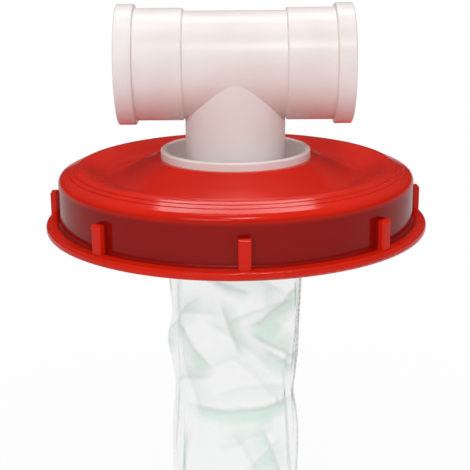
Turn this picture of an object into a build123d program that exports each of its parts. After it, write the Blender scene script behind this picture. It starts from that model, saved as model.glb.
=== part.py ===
from build123d import *
import math
import os

os.makedirs("parts", exist_ok=True)

# Screw lid for a tank neck, with a 50 mm vent tee on top and a mesh filter bag below.
# Millimetres, +Z up. The origin is on the lid's axis, in the plane where the gasket
# seals on the rim of the tank neck.

# ---------------------------------------------------------------- shared clearances
SLIDE_GAP = 0.1        # radial gap of pipe ends in their sockets
RUN_GAP = 0.05         # radial gap of parts that turn against each other
SOFT_GAP = 0.2         # gap between a soft part and the hard part it lies on

# ---------------------------------------------------------------- shared roundings
TINY_ROUND = 0.3
FINE_ROUND = 0.4
EDGE_ROUND = 0.6
SOFT_ROUND = 0.8

# ---------------------------------------------------------------- 50 mm pipe system
pipe_r = 25.0          # outer radius of the pipe and of the tee's plain leg
pipe_wall = 2.6
socket_depth = 25.0    # how far a pipe goes into each end of the tee

# ---------------------------------------------------------------- screw lid
thread_crest_r = 81.5  # clear bore inside the thread
thread_depth = 2.5
thread_pitch = 7.0
thread_mouth = 4.6     # height of the groove at the crest
thread_floor = 2.2     # height of the groove at its floor
skirt_wall = 5.3       # wall outside the thread's floor
seat_depth = 24.0      # lower edge of the lid to the sealing plane
brim_reach = 6.9
brim_thickness = 4.5
brim_fall = 0.6        # slope of the brim's top, so that water runs off
lug_count = 8
lug_width = 6.0
lug_reach = 4.6
lug_height = 13.6      # above the brim
lug_root = 1.0         # how far a lug is sunk in the skirt and the brim
lug_round = 1.1
lug_first_angle = -87.8
crown_inset = 12.3     # crown ridge inside the skirt's face
crown_height = 8.6     # crown ridge above the sealing plane
shoulder_height = 2.8  # where the crown's slope meets the skirt's face
dish_inset = 13.5      # foot of the dish's slope inside the crown ridge
dish_height = 1.6
dish_wall = 4.0
collar_height = 11.3   # top of the red collar round the cup
collar_width = 2.6
collar_underside = 5.0
boss_width = 9.2       # flat ring under the collar, for washer and nut
ring_line_depth = 0.35
ring_line_insets = (5.2, 6.5, 7.7, 10.8)   # moulded lines on the crown, from the skirt

# ---------------------------------------------------------------- rim gasket
gasket_thickness = 2.5
gasket_width = 7.5
gasket_gap = 0.4       # outside the gasket, to the bore of the skirt
gasket_land = 0.6      # flat of the lid inside the gasket

# ---------------------------------------------------------------- adapter cup
cup_ring_gap = 6.2     # open ring between the inner socket and the cup's wall
cup_wall = 2.85
cup_rise = 3.8         # rim above the red collar
cup_floor_drop = 24.0  # rim down to the floor of the open ring space
cup_floor = 4.0
boss_wall = 3.6        # wall of the inner pipe socket
boss_drop = 13.0       # rim down to the top of the inner socket
leg_seat = 28.0        # length of the tee's leg inside the inner socket
stop_thickness = 2.0
spigot_gap = 2.8       # inner socket to the inside of the spigot
spigot_wall = 3.0
spigot_length = 19.0   # below the cup's floor
bead_height = 2.0
bead_reach = 0.9
cup_thread_pitch = 3.0
cup_thread_depth = 0.9
cup_thread_mouth = 2.2
cup_thread_length = 9.0
hole_gap = 0.15        # cup in the lid's hole

# ---------------------------------------------------------------- washer and back nut
washer_thickness = 2.0
washer_width = 6.0
nut_height = 10.0
nut_wall = 5.75        # cup to the middle of each of the nut's flats
nut_flats = 8
nut_turned_edge = 1.8  # height of the turned-down corners

# ---------------------------------------------------------------- leg seal
seal_height = 4.0
seal_depth = 2.1
seal_drop = 4.0        # top of the inner socket down to the seal's groove

# ---------------------------------------------------------------- vent tee
run_clear = 12.5       # cup's rim up to the underside of the mouths
run_half = 57.6
body_swell = 1.0       # body of the tee outside the pipe's radius
socket_wall = 2.3
mouth_step = 2.1       # bead round each mouth, outside the socket's wall
mouth_width = 8.8
shoulder_step = 0.2    # inner shoulder of each socket beyond the leg's radius
mouth_bevel = 1.0
leg_bevel = 0.9

# ---------------------------------------------------------------- filter bag
bag_wall = 0.8
bag_swell = 1.5        # outside of the bag beyond the spigot, where it hangs free
bag_length = 232.0     # top edge down to the closed end
bag_top_drop = 1.5     # cup floor's underside down to the bag's top edge
bag_end_round = 16.0
bag_flare_drop = 2.0   # the flare over the bead ends this far below the spigot
bag_ease = 6.0         # and the bag reaches its full width this far below that
flare_rise = 0.3       # start of the flare above the bead
cuff_clear = 1.3       # lower edge of the cuff above the flare
cuff_thickness = 1.0

# ---------------------------------------------------------------- hose clamp
band_width = 9.0
band_thickness = 0.7
band_slot_pitch = 3.4
band_slot_count = 22
band_slot_size = (1.1, 5.6)
band_slot_slant = 8.0
clamp_angle = 40.0     # where the screw housing sits, from +X towards +Y
screw_r = 3.5
screw_length = 17.0
screw_groove = 0.6
screw_pitch = 3.0
head_flats = 7.0
head_length = 5.0
head_collar = 0.8      # round collar under the hexagon
head_gap = 0.3         # housing to the head
driver_slot = (1.2, 1.8)
housing_length = 12.0
housing_wall = 1.2
housing_round = 3.0
tail_arc = 52.0

# ================================================================ derived places
pipe_bore_r = pipe_r - pipe_wall
socket_bore_r = pipe_r + SLIDE_GAP
boss_outer_r = socket_bore_r + boss_wall
cup_bore_r = boss_outer_r + cup_ring_gap
cup_r = cup_bore_r + cup_wall
spigot_bore_r = boss_outer_r + spigot_gap
spigot_r = spigot_bore_r + spigot_wall

skirt_r = thread_crest_r + thread_depth + skirt_wall
brim_r = skirt_r + brim_reach
lid_bottom = -seat_depth
brim_top = lid_bottom + brim_thickness
crown_r = skirt_r - crown_inset
dish_radius = crown_r - dish_inset
hole_r = cup_r + hole_gap
collar_r = hole_r + collar_width
boss_r = hole_r + boss_width

cup_top = collar_height + cup_rise
cup_floor_top = cup_top - cup_floor_drop
cup_floor_under = cup_floor_top - cup_floor
boss_top = cup_top - boss_drop
leg_bottom = boss_top - leg_seat
stop_bottom = leg_bottom - stop_thickness
spigot_bottom = cup_floor_under - spigot_length
seal_top = boss_top - seal_drop
seal_bottom = seal_top - seal_height
groove_r = socket_bore_r + seal_depth

washer_top = collar_underside
nut_top = washer_top - washer_thickness
nut_bottom = nut_top - nut_height
nut_flat_r = cup_r + nut_wall
nut_corner_r = nut_flat_r / math.cos(math.pi / nut_flats)

body_r = pipe_r + body_swell
socket_r = socket_bore_r + socket_wall
mouth_r = socket_r + mouth_step
shoulder_x = pipe_r + shoulder_step
run_height = cup_top + run_clear + mouth_r           # axis of the run

bag_top = cup_floor_under - bag_top_drop
bag_sleeve_r = spigot_r + SOFT_GAP                   # inside, on the spigot
bag_r = spigot_r + bag_swell                         # outside, below the spigot
bag_hang_r = bag_r - bag_wall
bag_flare_r = spigot_r + bead_reach + SOFT_GAP       # inside, over the bead
bead_top = spigot_bottom + bead_height
flare_top = bead_top + bead_reach + flare_rise
flare_bottom = spigot_bottom - bag_flare_drop
ease_bottom = flare_bottom - bag_ease
bag_bottom = bag_top - bag_length
cuff_r = bag_sleeve_r + bag_wall + RUN_GAP           # inside of the cuff
cuff_outer_r = cuff_r + cuff_thickness
cuff_bottom = flare_top + cuff_clear
sleeve_bottom = cuff_bottom - flare_rise

band_r = cuff_outer_r + RUN_GAP                      # inside of the band
band_outer_r = band_r + band_thickness
tail_r = band_outer_r + RUN_GAP
tail_outer_r = tail_r + band_thickness
clamp_height = (bag_top + cuff_bottom) / 2
screw_centre_r = tail_outer_r + RUN_GAP + screw_r
clamp_plane = Plane(origin=(0, 0, clamp_height)).rotated((0, 0, clamp_angle))


def closed_outline(*corners):
    """A closed outline of (radius, height, rounding) corners in the current sketch."""
    points = [(corner[0], corner[1]) for corner in corners]
    roundings = [corner[2] for corner in corners]
    with BuildLine() as outline:
        FilletPolyline(*points, radius=roundings, close=True)
    make_face(outline.edges())


def keep(builder, name):
    """Label a finished piece and write it to its own file."""
    builder.part.label = name
    export_step(builder.part, f"parts/{name}.step")


# ================================================================ lid shell
cut_over = 0.6         # how far a thread's cutter stands clear of the face it cuts
lug_inner_r = skirt_r - lug_root
lug_outer_r = skirt_r + lug_reach
lug_top = brim_top + lug_height

with BuildPart() as lug:
    with BuildSketch(Plane.XZ):
        with BuildLine():
            Polyline(
                (lug_inner_r, brim_top - lug_root),
                (lug_outer_r, brim_top - lug_root),
                (lug_outer_r, lug_top),
                (lug_inner_r, lug_top),
                close=True,
            )
        make_face()
    extrude(amount=lug_width / 2, both=True)
    outer_edges = lug.faces().sort_by(Axis.X)[-1].edges()
    fillet(outer_edges.sort_by(Axis.Z)[1:], radius=lug_round)

crown_slope = (crown_height - shoulder_height) / (skirt_r - crown_r)
dish_underside = dish_height - dish_wall

with BuildPart() as lid_shell:
    with BuildSketch(Plane.XZ):
        closed_outline(
            (thread_crest_r, lid_bottom, 0.5),
            (brim_r, lid_bottom, 1.4),
            (brim_r, brim_top - brim_fall, 1.4),
            (skirt_r, brim_top, 1.2),
            (skirt_r, shoulder_height, 4.0),
            (crown_r, crown_height, 7.0),
            (dish_radius, dish_height, 9.0),
            (collar_r, collar_height, 2.0),
            (hole_r, collar_height, FINE_ROUND),
            (hole_r, collar_underside, FINE_ROUND),
            (boss_r, collar_underside, 2.0),
            (dish_radius, dish_underside, 6.0),
            (thread_crest_r - gasket_width - gasket_land, gasket_thickness, TINY_ROUND),
            (thread_crest_r, gasket_thickness, 0),
        )
    revolve(axis=Axis.Z)

    with PolarLocations(0, lug_count, start_angle=lug_first_angle):
        add(lug.part)

    # Fine moulded lines round the outer slope of the crown.
    with BuildSketch(Plane.XZ):
        for inset in ring_line_insets:
            with Locations((skirt_r - inset, shoulder_height + inset * crown_slope)):
                Circle(ring_line_depth)
    revolve(axis=Axis.Z, mode=Mode.SUBTRACT)

    # Coarse internal thread, cut as a groove that runs out at the lid's mouth.
    thread_start = lid_bottom - thread_mouth
    thread_end = -thread_mouth
    with BuildLine():
        thread_path = Helix(
            thread_pitch, thread_end - thread_start, thread_crest_r, (0, 0, thread_start)
        )
    with BuildSketch(Plane.XZ):
        with Locations((0, thread_start)):
            with BuildLine():
                Polyline(
                    (thread_crest_r - cut_over, -thread_mouth / 2),
                    (thread_crest_r, -thread_mouth / 2),
                    (thread_crest_r + thread_depth, -thread_floor / 2),
                    (thread_crest_r + thread_depth, thread_floor / 2),
                    (thread_crest_r, thread_mouth / 2),
                    (thread_crest_r - cut_over, thread_mouth / 2),
                    close=True,
                )
            make_face()
    sweep(path=thread_path, is_frenet=True, mode=Mode.SUBTRACT)
keep(lid_shell, "lid_shell")

# ================================================================ rim gasket
gasket_r = thread_crest_r - gasket_gap
with BuildPart() as rim_gasket:
    with BuildSketch(Plane.XZ):
        closed_outline(
            (gasket_r - gasket_width, 0, FINE_ROUND),
            (gasket_r, 0, FINE_ROUND),
            (gasket_r, gasket_thickness, FINE_ROUND),
            (gasket_r - gasket_width, gasket_thickness, FINE_ROUND),
        )
    revolve(axis=Axis.Z)
keep(rim_gasket, "rim_gasket")

# ================================================================ adapter cup
with BuildPart() as adapter_cup:
    with BuildSketch(Plane.XZ):
        closed_outline(
            (cup_r, cup_top, SOFT_ROUND),
            (cup_r, cup_floor_under, EDGE_ROUND),
            (spigot_r, cup_floor_under, EDGE_ROUND),
            (spigot_r, bead_top + bead_reach, TINY_ROUND),
            (spigot_r + bead_reach, bead_top, FINE_ROUND),
            (spigot_r + bead_reach, spigot_bottom, EDGE_ROUND),
            (spigot_bore_r, spigot_bottom, EDGE_ROUND),
            (spigot_bore_r, cup_floor_under, FINE_ROUND),
            (boss_outer_r, cup_floor_under, FINE_ROUND),
            (boss_outer_r, stop_bottom, EDGE_ROUND),
            (pipe_bore_r, stop_bottom, FINE_ROUND),
            (pipe_bore_r, leg_bottom, FINE_ROUND),
            (socket_bore_r, leg_bottom, 0),
            (socket_bore_r, seal_bottom, 0),
            (groove_r, seal_bottom, 0),
            (groove_r, seal_top, 0),
            (socket_bore_r, seal_top, 0),
            (socket_bore_r, boss_top, SOFT_ROUND),
            (boss_outer_r, boss_top, EDGE_ROUND),
            (boss_outer_r, cup_floor_top, SOFT_ROUND),
            (cup_bore_r, cup_floor_top, SOFT_ROUND),
            (cup_bore_r, cup_top, SOFT_ROUND),
        )
    revolve(axis=Axis.Z)

    # External thread below the lid, for the back nut.
    cup_thread_top = nut_top - cup_thread_mouth
    cup_thread_start = cup_thread_top - cup_thread_length
    with BuildLine():
        cup_thread_path = Helix(
            cup_thread_pitch, cup_thread_length, cup_r, (0, 0, cup_thread_start)
        )
    with BuildSketch(Plane.XZ):
        with Locations((0, cup_thread_start)):
            with BuildLine():
                Polyline(
                    (cup_r + cut_over, -cup_thread_mouth / 2),
                    (cup_r, -cup_thread_mouth / 2),
                    (cup_r - cup_thread_depth, 0),
                    (cup_r, cup_thread_mouth / 2),
                    (cup_r + cut_over, cup_thread_mouth / 2),
                    close=True,
                )
            make_face()
    sweep(path=cup_thread_path, is_frenet=True, mode=Mode.SUBTRACT)
keep(adapter_cup, "adapter_cup")

# ================================================================ washer and back nut
with BuildPart() as adapter_washer:
    with BuildSketch(Plane.XY.offset(nut_top)):
        Circle(hole_r + washer_width)
        Circle(hole_r, mode=Mode.SUBTRACT)
    extrude(amount=washer_thickness)
    fillet(adapter_washer.edges().filter_by(GeomType.CIRCLE), radius=FINE_ROUND)
keep(adapter_washer, "adapter_washer")

with BuildPart() as backnut:
    with BuildSketch(Plane.XY.offset(nut_bottom)):
        RegularPolygon(nut_flat_r, nut_flats, major_radius=False)
        Circle(cup_r + RUN_GAP, mode=Mode.SUBTRACT)
    extrude(amount=nut_height)
    # Corners turned down at both ends, as on any nut.
    turned_r = nut_corner_r + 0.2
    with BuildSketch(Plane.XZ):
        closed_outline(
            (cup_bore_r, nut_bottom, 0),
            (nut_flat_r, nut_bottom, 0),
            (turned_r, nut_bottom + nut_turned_edge, 0),
            (turned_r, nut_top - nut_turned_edge, 0),
            (nut_flat_r, nut_top, 0),
            (cup_bore_r, nut_top, 0),
        )
    revolve(axis=Axis.Z, mode=Mode.INTERSECT)
keep(backnut, "backnut")

# ================================================================ leg seal
with BuildPart() as leg_seal:
    with BuildSketch(Plane.XZ):
        closed_outline(
            (pipe_r + RUN_GAP, seal_bottom + RUN_GAP, SOFT_ROUND),
            (groove_r - RUN_GAP, seal_bottom + RUN_GAP, TINY_ROUND),
            (groove_r - RUN_GAP, seal_top - RUN_GAP, TINY_ROUND),
            (pipe_r + RUN_GAP, seal_top - RUN_GAP, SOFT_ROUND),
        )
    revolve(axis=Axis.Z)
keep(leg_seal, "leg_seal")

# ================================================================ vent tee
run_plane = Plane(origin=(0, 0, run_height), x_dir=(1, 0, 0), z_dir=(0, -1, 0))
pipe_stop_x = run_half - socket_depth

with BuildPart() as vent_tee:
    # The run, turned about its own axis.
    with BuildSketch(run_plane):
        closed_outline(
            (-run_half, 0, 0),
            (-run_half, mouth_r, SOFT_ROUND),
            (-run_half + mouth_width, mouth_r, SOFT_ROUND),
            (-run_half + mouth_width, socket_r, TINY_ROUND),
            (-shoulder_x, socket_r, SOFT_ROUND),
            (-shoulder_x, body_r, TINY_ROUND),
            (shoulder_x, body_r, TINY_ROUND),
            (shoulder_x, socket_r, SOFT_ROUND),
            (run_half - mouth_width, socket_r, TINY_ROUND),
            (run_half - mouth_width, mouth_r, SOFT_ROUND),
            (run_half, mouth_r, SOFT_ROUND),
            (run_half, 0, 0),
        )
    run_axis = Axis((0, 0, run_height), (1, 0, 0))
    revolve(axis=run_axis)
    # The plain leg that goes down into the cup.
    with BuildSketch(Plane.XY.offset(leg_bottom)):
        Circle(pipe_r)
    extrude(amount=run_height - leg_bottom)
    # Bores: the leg, the run and a socket at each end for a pipe.
    with BuildSketch(Plane.XY.offset(leg_bottom)):
        Circle(pipe_bore_r)
    extrude(amount=run_height - leg_bottom, mode=Mode.SUBTRACT)
    with BuildSketch(run_plane):
        closed_outline(
            (-run_half - mouth_bevel, 0, 0),
            (-run_half - mouth_bevel, socket_bore_r + 2 * mouth_bevel, 0),
            (-run_half + mouth_bevel, socket_bore_r, 0),
            (-pipe_stop_x, socket_bore_r, 0),
            (-pipe_stop_x, pipe_bore_r, 0),
            (pipe_stop_x, pipe_bore_r, 0),
            (pipe_stop_x, socket_bore_r, 0),
            (run_half - mouth_bevel, socket_bore_r, 0),
            (run_half + mouth_bevel, socket_bore_r + 2 * mouth_bevel, 0),
            (run_half + mouth_bevel, 0, 0),
        )
    revolve(axis=run_axis, mode=Mode.SUBTRACT)
    leg_end = vent_tee.faces().sort_by(Axis.Z)[0]
    chamfer(leg_end.edges().sort_by(SortBy.RADIUS)[-1], length=leg_bevel)
keep(vent_tee, "vent_tee")

# ================================================================ filter bag and cuff
with BuildPart() as filter_bag:
    with BuildSketch(Plane.XZ):
        closed_outline(
            (bag_sleeve_r, bag_top, 0.2),
            (bag_sleeve_r + bag_wall, bag_top, 0.2),
            (bag_sleeve_r + bag_wall, sleeve_bottom, 0.5),
            (bag_flare_r + bag_wall, flare_top, 0.5),
            (bag_flare_r + bag_wall, flare_bottom, 1.5),
            (bag_r, ease_bottom, 3.0),
            (bag_r, bag_bottom, bag_end_round),
            (0, bag_bottom, 0),
            (0, bag_bottom + bag_wall, 0),
            (bag_hang_r, bag_bottom + bag_wall, bag_end_round - bag_wall),
            (bag_hang_r, ease_bottom, 3.0),
            (bag_flare_r, flare_bottom, 1.5),
            (bag_flare_r, flare_top, 0.5),
            (bag_sleeve_r, sleeve_bottom, 0.5),
        )
    revolve(axis=Axis.Z)
keep(filter_bag, "filter_bag")

with BuildPart() as bag_cuff:
    with BuildSketch(Plane.XZ):
        closed_outline(
            (cuff_r, cuff_bottom, TINY_ROUND),
            (cuff_outer_r, cuff_bottom, TINY_ROUND),
            (cuff_outer_r, bag_top, TINY_ROUND),
            (cuff_r, bag_top, TINY_ROUND),
        )
    revolve(axis=Axis.Z)
keep(bag_cuff, "bag_cuff")

# ================================================================ hose clamp
tail_start = -math.degrees(housing_length / 2 / band_outer_r)
slot_step = math.degrees(band_slot_pitch / tail_outer_r)
sector_reach = 2 * tail_outer_r

with BuildPart(clamp_plane) as clamp_band:
    with BuildSketch(clamp_plane.offset(-band_width / 2)):
        Circle(band_outer_r)
        Circle(band_r, mode=Mode.SUBTRACT)
    extrude(amount=band_width)
    # The loose end laps over the loop as it leaves the screw housing.
    with BuildSketch(clamp_plane.offset(-band_width / 2)):
        Circle(tail_outer_r)
        Circle(band_outer_r - RUN_GAP, mode=Mode.SUBTRACT)
        with BuildLine():
            tail_angles = (tail_start, tail_start + tail_arc)
            Polyline(
                (0, 0),
                *[
                    (
                        sector_reach * math.cos(math.radians(angle)),
                        sector_reach * math.sin(math.radians(angle)),
                    )
                    for angle in tail_angles
                ],
                close=True,
            )
        make_face(mode=Mode.INTERSECT)
    extrude(amount=band_width)
    # Slanted slots that the worm engages.
    with PolarLocations(
        band_outer_r,
        band_slot_count,
        start_angle=tail_start + slot_step / 2,
        angular_range=slot_step * (band_slot_count - 1),
        endpoint=True,
    ):
        Box(
            6 * band_thickness,
            band_slot_size[0],
            band_slot_size[1],
            rotation=(band_slot_slant, 0, 0),
            mode=Mode.SUBTRACT,
        )
keep(clamp_band, "clamp_band")

housing_plane = Plane(
    origin=(0, 0, clamp_height), x_dir=clamp_plane.x_dir, z_dir=-clamp_plane.y_dir
)
housing_low_r = band_r + SOFT_GAP
housing_high_r = screw_centre_r + screw_r + housing_wall
housing_height = band_width + 2 * (housing_wall + RUN_GAP)
with BuildPart() as clamp_housing:
    with BuildSketch(housing_plane) as housing_section:
        with Locations(((housing_low_r + housing_high_r) / 2, 0)):
            Rectangle(housing_high_r - housing_low_r, housing_height)
        outer_corners = housing_section.vertices().group_by(Axis((0, 0, 0), clamp_plane.x_dir))[-1]
        fillet(outer_corners, housing_round)
        with Locations((screw_centre_r, 0)):
            Circle(screw_r + RUN_GAP, mode=Mode.SUBTRACT)
        with Locations((tail_outer_r / 2, 0)):
            Rectangle(tail_outer_r + 2 * RUN_GAP, band_width + 2 * RUN_GAP, mode=Mode.SUBTRACT)
    extrude(amount=housing_length / 2, both=True)
keep(clamp_housing, "clamp_housing")

screw_plane = Plane(
    origin=clamp_plane.from_local_coords(Vector(screw_centre_r, 0, 0)),
    x_dir=clamp_plane.x_dir,
    z_dir=-clamp_plane.y_dir,
)
screw_side = Plane(
    origin=screw_plane.origin, x_dir=screw_plane.x_dir, z_dir=-screw_plane.y_dir
)
screw_end = -screw_length / 2
head_base = housing_length / 2 + head_gap
with BuildPart() as clamp_screw:
    with BuildSketch(screw_plane.offset(screw_end)):
        Circle(screw_r)
    extrude(amount=head_base - screw_end)
    with BuildSketch(screw_plane.offset(head_base)):
        Circle(head_flats / 2 / math.cos(math.pi / 6))
    extrude(amount=head_collar)
    with BuildSketch(screw_plane.offset(head_base + head_collar)):
        RegularPolygon(head_flats / 2, 6, major_radius=False)
    extrude(amount=head_length - head_collar)
    with BuildSketch(screw_plane.offset(head_base + head_length)):
        Rectangle(3 * head_flats, driver_slot[0])
    extrude(amount=-driver_slot[1], mode=Mode.SUBTRACT)
    # Worm thread, cut as rings.
    groove_count = int((head_base - screw_end - screw_pitch / 2) / screw_pitch)
    with BuildSketch(screw_side):
        for number in range(groove_count):
            with Locations((screw_r, screw_end + screw_pitch * (number + 0.8))):
                Rectangle(2 * screw_groove, 2 * screw_groove, rotation=45)
    revolve(axis=Axis(screw_plane.origin, screw_plane.z_dir), mode=Mode.SUBTRACT)
keep(clamp_screw, "clamp_screw")
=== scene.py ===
"""Finishes, sewn filter bag and studio for a tank lid with a vent tee.

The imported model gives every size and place. This script dresses its pieces, makes the
soft pieces that stand for the plain ones, and lights the whole on a pale floor.
"""

import logging
import math
import random
from dataclasses import dataclass, field
from enum import Enum
from typing import Any

import bpy
import numpy as np
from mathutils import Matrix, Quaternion, Vector


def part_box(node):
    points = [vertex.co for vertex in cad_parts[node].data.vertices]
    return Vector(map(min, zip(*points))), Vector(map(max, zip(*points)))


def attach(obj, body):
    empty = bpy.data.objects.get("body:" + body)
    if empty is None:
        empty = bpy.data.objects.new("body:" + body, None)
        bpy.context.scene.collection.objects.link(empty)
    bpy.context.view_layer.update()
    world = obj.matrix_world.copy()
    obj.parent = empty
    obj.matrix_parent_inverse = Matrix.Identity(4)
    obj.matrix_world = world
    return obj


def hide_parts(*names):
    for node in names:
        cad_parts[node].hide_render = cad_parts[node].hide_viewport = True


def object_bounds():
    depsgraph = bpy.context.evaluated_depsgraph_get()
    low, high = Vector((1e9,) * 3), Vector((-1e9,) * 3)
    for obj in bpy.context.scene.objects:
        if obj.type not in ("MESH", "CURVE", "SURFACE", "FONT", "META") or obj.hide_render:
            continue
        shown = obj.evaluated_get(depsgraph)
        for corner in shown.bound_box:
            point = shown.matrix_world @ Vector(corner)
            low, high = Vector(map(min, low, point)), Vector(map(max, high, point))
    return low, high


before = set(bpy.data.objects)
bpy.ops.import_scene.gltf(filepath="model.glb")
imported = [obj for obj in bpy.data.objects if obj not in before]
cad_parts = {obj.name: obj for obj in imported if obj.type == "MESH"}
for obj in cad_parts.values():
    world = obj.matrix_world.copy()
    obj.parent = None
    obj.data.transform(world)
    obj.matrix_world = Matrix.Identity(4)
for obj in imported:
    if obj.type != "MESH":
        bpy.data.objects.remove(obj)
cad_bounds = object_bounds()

MM = 0.001
# Strength of each finer octave of noise, and the mesh's opacity in its holes and threads.
OCTAVE_SHARE = 0.55
HOLE_SHARE, THREAD_SHARE = 0.4, 1.2
log = logging.getLogger("tank_lid")


# ------------------------------------------------------------------ small helpers
def linear(hex_colour: str) -> tuple[float, float, float, float]:
    """Turn an sRGB hex colour into linear values.

    Args:
        hex_colour: Six hex digits, such as "D8261A".

    Returns:
        Linear red, green and blue, with an alpha of 1.
    """
    channels = [int(hex_colour[i : i + 2], 16) / 255 for i in (0, 2, 4)]
    red, green, blue = (
        c / 12.92 if c <= 0.04045 else ((c + 0.055) / 1.055) ** 2.4 for c in channels
    )
    return red, green, blue, 1.0


def add_node(
    tree: bpy.types.NodeTree,
    kind: str,
    values: dict[Any, Any] | None = None,
    **settings: Any,
) -> bpy.types.Node:
    """Add one node, set its options and fill or link its inputs.

    Args:
        tree: The node tree that gets the node.
        kind: Blender's identifier of the node type.
        values: Input name or number to a value, or to the output that feeds it.
        **settings: Properties of the node itself.

    Returns:
        The new node.
    """
    node = tree.nodes.new(kind)
    for name, setting in settings.items():
        setattr(node, name, setting)
    for key, value in (values or {}).items():
        if isinstance(value, bpy.types.NodeSocket):
            tree.links.new(value, node.inputs[key])
        else:
            node.inputs[key].default_value = value
    return node


def new_object(
    name: str, vertices: list[Vector], faces: list[tuple[int, ...]]
) -> bpy.types.Object:
    """Make a smooth-shaded mesh object at the origin.

    Args:
        name: The piece's name.
        vertices: Corner places in metres, in the row frame.
        faces: Corner numbers of each face.

    Returns:
        The linked object.
    """
    mesh = bpy.data.meshes.new(name)
    mesh.from_pydata([tuple(v) for v in vertices], [], faces)
    mesh.polygons.foreach_set("use_smooth", [True] * len(mesh.polygons))
    mesh.update()
    piece = bpy.data.objects.new(name, mesh)
    bpy.context.scene.collection.objects.link(piece)
    return piece


def bake_modifiers(piece: bpy.types.Object) -> None:
    """Apply every modifier of a piece to its mesh.

    Args:
        piece: The object whose evaluated shape becomes its mesh.
    """
    graph = bpy.context.evaluated_depsgraph_get()
    mesh = bpy.data.meshes.new_from_object(piece.evaluated_get(graph))
    old = piece.data
    piece.modifiers.clear()
    piece.data = mesh
    mesh.name = piece.name
    bpy.data.meshes.remove(old)


def dress(node: str, material: bpy.types.Material) -> bpy.types.Object:
    """Give a carried-over piece its material.

    Args:
        node: The piece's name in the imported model.
        material: The finish to show.

    Returns:
        The piece's object.
    """
    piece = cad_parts[node]
    piece.data.materials.clear()
    piece.data.materials.append(material)
    return piece


# ------------------------------------------------------------------ finishes
@dataclass(frozen=True)
class Finish:
    """A surface of one material.

    Attributes:
        name: The real material and how its surface was made.
        colour: Its main colour, sRGB hex.
        roughness: Microfacet roughness.
        ior: Index of refraction.
        specular: Strength of the mirror-like part, 0.5 for plain glossy skin.
        sheen: Strength of the soft glow of fibres seen edge-on.
    """

    name: str
    colour: str
    roughness: float
    ior: float = 1.5
    specular: float = 0.5
    sheen: float = 0.0

    def start(self) -> tuple[bpy.types.Material, bpy.types.Node]:
        """Make the material and its surface shader.

        Returns:
            The material and its Principled node.
        """
        material = bpy.data.materials.new(self.name)
        material.use_nodes = True
        shader = material.node_tree.nodes["Principled BSDF"]
        shader.inputs["Base Color"].default_value = linear(self.colour)
        shader.inputs["Roughness"].default_value = self.roughness
        shader.inputs["IOR"].default_value = self.ior
        shader.inputs["Specular IOR Level"].default_value = self.specular
        shader.inputs["Sheen Weight"].default_value = self.sheen
        return material, shader

    @staticmethod
    def cloud(
        tree: bpy.types.NodeTree, size: float, detail: float, stretch: Vector | None = None
    ) -> bpy.types.NodeSocket:
        """Noise on object coordinates, with features of a real size.

        Args:
            tree: The material's nodes.
            size: Typical feature size in metres.
            detail: Octaves of finer noise.
            stretch: Factors that lengthen the pattern along each axis.

        Returns:
            The noise value's output.
        """
        place = add_node(tree, "ShaderNodeTexCoord").outputs["Object"]
        if stretch is not None:
            factors = Vector((1 / stretch.x, 1 / stretch.y, 1 / stretch.z))
            mapping = add_node(tree, "ShaderNodeMapping", {"Vector": place, "Scale": factors})
            place = mapping.outputs["Vector"]
        texture = add_node(
            tree,
            "ShaderNodeTexNoise",
            {"Vector": place, "Scale": 1 / size, "Detail": detail, "Roughness": OCTAVE_SHARE},
        )
        return texture.outputs["Fac"]

    @staticmethod
    def mix(
        tree: bpy.types.NodeTree,
        share: bpy.types.NodeSocket,
        low: float,
        high: float,
        first: str,
        second: str,
    ) -> bpy.types.NodeSocket:
        """Blend two colours where a value passes from low to high.

        Args:
            tree: The material's nodes.
            share: The driving value.
            low: The value at which the first colour ends.
            high: The value at which the second colour is full.
            first: sRGB hex colour at low.
            second: sRGB hex colour at high.

        Returns:
            The blended colour's output.
        """
        ramp = add_node(tree, "ShaderNodeValToRGB", {"Fac": share})
        ramp.color_ramp.elements[0].position = low
        ramp.color_ramp.elements[0].color = linear(first)
        ramp.color_ramp.elements[1].position = high
        ramp.color_ramp.elements[1].color = linear(second)
        return ramp.outputs["Color"]

    @staticmethod
    def relief(
        tree: bpy.types.NodeTree,
        shader: bpy.types.Node,
        height: bpy.types.NodeSocket,
        depth: float,
        strength: float = 1.0,
    ) -> None:
        """Bump the surface by a height pattern.

        Args:
            tree: The material's nodes.
            shader: The node that gets the normal; an earlier bump on it is kept.
            height: The pattern, from 0 to 1.
            depth: Its real depth in metres.
            strength: How much of the bump shows.
        """
        values = {"Height": height, "Distance": depth, "Strength": strength}
        if shader.inputs["Normal"].links:
            values["Normal"] = shader.inputs["Normal"].links[0].from_socket
        bump = add_node(tree, "ShaderNodeBump", values)
        tree.links.new(bump.outputs["Normal"], shader.inputs["Normal"])


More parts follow.
